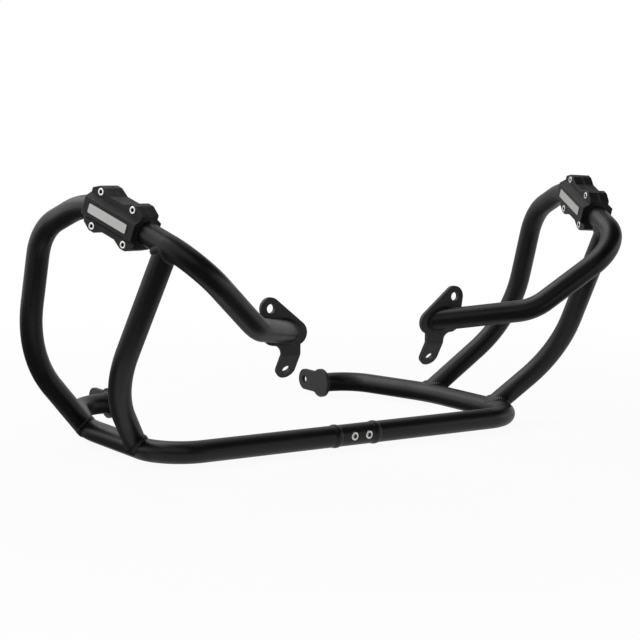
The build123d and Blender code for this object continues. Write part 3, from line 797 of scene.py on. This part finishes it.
class CRASHBARS_OT_stage(bpy.types.Operator):
    """Set up the pale floor, the soft light and the camera"""

    bl_idname = "crash_bars.stage"
    bl_label = "Stage"

    def execute(self, context):
        scene = context.scene
        studio = scene.crash_bar_studio
        scene.view_settings.view_transform = "Standard"
        self.floor(scene, studio)
        self.tent(scene, studio)
        self.light(scene, studio)
        self.camera(scene, studio)
        return {"FINISHED"}

    def floor(self, scene, studio):
        """A pale paper floor. Near the object a small share of it keeps the shadow, and it turns plain
        white further out."""
        half, near, near_white = 30.0, 0.3 * studio.floor_white, 0.94
        mesh = bpy.data.meshes.new("pale_floor")
        mesh.from_pydata(self.sheet(-half, half, -half, half, 0)[0].tolist(), [], [(0, 1, 2, 3)])
        material, tree, output = new_material("pale_floor_paper")
        lit = add_node(tree, "ShaderNodeBsdfDiffuse", None, {"Color": scene.crash_bar_colours.floor})
        white = add_node(tree, "ShaderNodeEmission", None, {"Color": WHITE, "Strength": 1.0})
        place = add_node(tree, "ShaderNodeTexCoord").outputs["Object"]
        away = add_node(tree, "ShaderNodeVectorMath", {"operation": "LENGTH"}, {0: place})
        amount = add_node(tree, "ShaderNodeMapRange", {"interpolation_type": "SMOOTHSTEP"},
                          {"Value": away.outputs["Value"], "From Min": near, "From Max": studio.floor_white,
                           "To Min": near_white, "To Max": 1.0})
        surface = white_to_the_eye(tree, lit.outputs["BSDF"], white.outputs["Emission"],
                                   amount.outputs["Result"])
        tree.links.new(surface, output.inputs["Surface"])
        mesh.materials.append(material)
        floor = bpy.data.objects.new("pale_floor", mesh)
        scene.collection.objects.link(floor)

    def tent(self, scene, studio):
        """Cloth seen only in reflections, as photographers hang round a glossy black object.

        It is a dark wall bent round behind the camera, a dark roof with an opening over the crossbar, a
        lighter cloth on the floor inside the loop, a painted reflection of the lit floor, grey cloth left
        of it and along the lower tubes, a painted shadow of the floor seen in reflections, grey cloth in
        front of it, and pale cloth all round.
        """
        far, low, roof = 3.2, 4 * MM, studio.tent_roof
        fan = studio.azimuth + np.array([-1, 1]) * studio.tent_turn
        roof_left, roof_back = -studio.tent_left, studio.tent_back
        opening_left, opening_right, opening_front = -0.15, 0.28, -0.33
        inner_front, grey_front = -studio.tent_inside, -studio.tent_front
        left, inner_left, right, front, back = -1.0, -0.3, 0.45, -0.5, 0.6
        most = 0.75
        # Painted shadow: grey strips along the lower tubes, seen only in reflections, stand for the floor's
        # shadow there.
        route = np.concatenate([LOWER[:3], [(1 - most) * LOWER[2] + most * LOWER[3]]])
        floor_shadow_ribbons = [self.ribbon(placed(route, side), studio.floor_shadow_half_width, 2 * low) for side in SIDES.values()]
        cloths = {
            "dark": (0.0, [self.bent(fan, [(far, low), (far, roof)]),
                           self.sheet(roof_left, opening_left, opening_front, roof_back, roof),
                           self.sheet(opening_right, far, opening_front, roof_back, roof),
                           self.sheet(roof_left, far, -far, opening_front, roof)]),
            # Painted reflection of the lit floor inside the loop.
            "inner": (studio.tent_inner, [self.sheet(inner_left, right, inner_front, back, low)]),
            # Painted shadow in reflections: the ribbons and the sheet left of the loop. The front sheet and
            # fan are grey cloth.
            "grey": (studio.tent_grey, [*floor_shadow_ribbons,
                                        self.sheet(left, inner_left, inner_front, back, low),
                                        self.sheet(left, right, front, grey_front, low),
                                        self.bent(fan, [(-front, low), (far, low)])]),
            "pale": (studio.tent_pale, [self.bent([-np.pi, np.pi], [(2 * far, 0), (2 * far, far)]),
                                        self.sheet(-2 * far, 2 * far, -2 * far, 2 * far, low / 2),
                                        self.sheet(-2 * far, 2 * far, -2 * far, 2 * far, far)]),
        }
        for cloth, (level, patches) in cloths.items():
            corners = np.concatenate(patches).reshape(-1, 3)
            quads = np.arange(len(corners)).reshape(-1, 4)
            mesh = bpy.data.meshes.new(f"{cloth}_tent")
            mesh.from_pydata(corners.tolist(), [], quads.tolist())
            material, tree, output = new_material(f"{cloth}_cloth")
            glow = add_node(tree, "ShaderNodeEmission", None, {"Color": WHITE, "Strength": level})
            tree.links.new(glow.outputs["Emission"], output.inputs["Surface"])
            mesh.materials.append(material)
            tent = bpy.data.objects.new(f"{cloth}_tent", mesh)
            tent.visible_camera = tent.visible_diffuse = False
            tent.visible_shadow = tent.visible_transmission = False
            scene.collection.objects.link(tent)

    @staticmethod
    def bent(ends, edges):
        """Cloth bent round the middle between two angles, from one edge to the other, as an array of quads.

        Each edge is a radius and a height, and its point at angle a is (-radius sin a, -radius cos a).
        """
        turn = np.linspace(*ends, 33)
        lower, upper = [
            np.stack([-radius * np.sin(turn), -radius * np.cos(turn), np.full_like(turn, height)], 1)
            for radius, height in edges]
        return np.stack([lower[:-1], lower[1:], upper[1:], upper[:-1]], 1)

    @staticmethod
    def ribbon(corners, half, height):
        """Level cloth along a route, half a width to each side of each run, as an array of quads. Along the
        lower tubes it is a painted shadow of the floor, seen in reflections.
        """
        level = corners * [1, 1, 0]
        start, end = level[:-1], level[1:]
        aside = np.cross([0, 0, 1.0], unit(end - start) * half)
        return np.stack([start - aside, end - aside, end + aside, start + aside], 1) + [0, 0, height]

    @staticmethod
    def sheet(left, right, front, back, height):
        """One level rectangle of cloth, as an array of one quad."""
        return np.array([[[left, front, height], [right, front, height],
                          [right, back, height], [left, back, height]]])

    def light(self, scene, studio):
        """A white world that lights weakly, and four soft boxes that face the object."""
        world = scene.world or bpy.data.worlds.new("studio")
        scene.world = world
        world.use_nodes = True
        tree = world.node_tree
        tree.nodes.clear()
        output = add_node(tree, "ShaderNodeOutputWorld")
        fill = add_node(tree, "ShaderNodeBackground", None, {"Color": WHITE, "Strength": studio.fill})
        white = add_node(tree, "ShaderNodeBackground", None, {"Color": WHITE, "Strength": 1.0})
        surface = white_to_the_eye(tree, fill.outputs["Background"], white.outputs["Background"], 1.0)
        tree.links.new(surface, output.inputs["Surface"])
        front = -np.array([np.sin(studio.azimuth), np.cos(studio.azimuth), 0])
        left = np.array([front[1], -front[0], 0])
        aim = Vector((0, 0, 0.15))
        # Power, width and depth, place on the floor and height of each box.
        boxes = {
            "top": (studio.top_box, (2.4, 2.2), 1.2 * left - 0.4 * front, 2.0),
            "left": (studio.side_box, (2.0, 1.6), 2.0 * left, 0.9),
            "right": (studio.side_box, (2.0, 1.6), -2.0 * left, 0.9),
            "front": (studio.front_box, (3.0, 1.6), 1.6 * front, 1.9),
        }
        for name, (power, size, place, height) in boxes.items():
            lamp = bpy.data.lights.new(f"{name}_soft_box", "AREA")
            lamp.energy = power
            lamp.shape = "RECTANGLE"
            lamp.size, lamp.size_y = size
            box = bpy.data.objects.new(f"{name}_soft_box", lamp)
            spot = Vector((*place[:2], height))
            turn = (aim - spot).to_track_quat("-Z", "Y").to_matrix().to_4x4()
            box.matrix_world = Matrix.Translation(spot) @ turn
            scene.collection.objects.link(box)

    def camera(self, scene, studio):
        """The camera at the photograph's place, turned by its azimuth, elevation and roll."""
        a, e, r = studio.azimuth, studio.elevation, studio.roll
        forward = np.array([np.sin(a) * np.cos(e), np.cos(a) * np.cos(e), -np.sin(e)])
        right = np.array([np.cos(a), -np.sin(a), 0])
        down = np.cross(forward, right)
        x = np.cos(r) * right - np.sin(r) * down
        y = -(np.sin(r) * right + np.cos(r) * down)
        lens = bpy.data.cameras.new("photo_view")
        lens.lens = studio.lens
        lens.sensor_width = SENSOR_WIDTH
        lens.clip_end = 200
        camera = bpy.data.objects.new("photo_view", lens)
        turn = Matrix(np.stack([x, y, -forward], 1).tolist()).to_4x4()
        camera.matrix_world = Matrix.Translation(Vector(studio.camera_place)) @ turn
        scene.collection.objects.link(camera)
        scene.camera = camera


GROUPS = {
    "crash_bar_sizes": CrashBarSizes,
    "crash_bar_colours": CrashBarColours,
    "crash_bar_studio": CrashBarStudio,
}
OPERATORS = (
    CRASHBARS_OT_coated_steel, CRASHBARS_OT_saddle_welds, CRASHBARS_OT_plate_welds, CRASHBARS_OT_ring_welds,
    CRASHBARS_OT_screws, CRASHBARS_OT_pads, CRASHBARS_OT_stage,
)


class CRASHBARS_PT_panel(bpy.types.Panel):
    """The sizes, colours and studio, and the pieces in the order in which they are made"""

    bl_idname = "CRASHBARS_PT_panel"
    bl_label = "Crash bars"
    bl_space_type = "VIEW_3D"
    bl_region_type = "UI"
    bl_category = "Crash bars"

    def draw(self, context):
        for name, group in GROUPS.items():
            column = self.layout.column()
            values = getattr(context.scene, name)
            for field in group.__annotations__:
                column.prop(values, field)
        for operator in OPERATORS:
            self.layout.operator(operator.bl_idname)


CLASSES = (*GROUPS.values(), *OPERATORS, CRASHBARS_PT_panel)


def register():
    for entry in CLASSES:
        bpy.utils.register_class(entry)
    for name, group in GROUPS.items():
        setattr(bpy.types.Scene, name, bpy.props.PointerProperty(type=group))


def unregister():
    for name in GROUPS:
        delattr(bpy.types.Scene, name)
    for entry in reversed(CLASSES):
        bpy.utils.unregister_class(entry)


def main():
    register()
    bpy.ops.crash_bars.coated_steel()
    bpy.ops.crash_bars.saddle_welds()
    bpy.ops.crash_bars.plate_welds()
    bpy.ops.crash_bars.ring_welds()
    bpy.ops.crash_bars.screws()
    bpy.ops.crash_bars.pads()
    bpy.ops.crash_bars.stage()


if __name__ == "__main__":
    main()
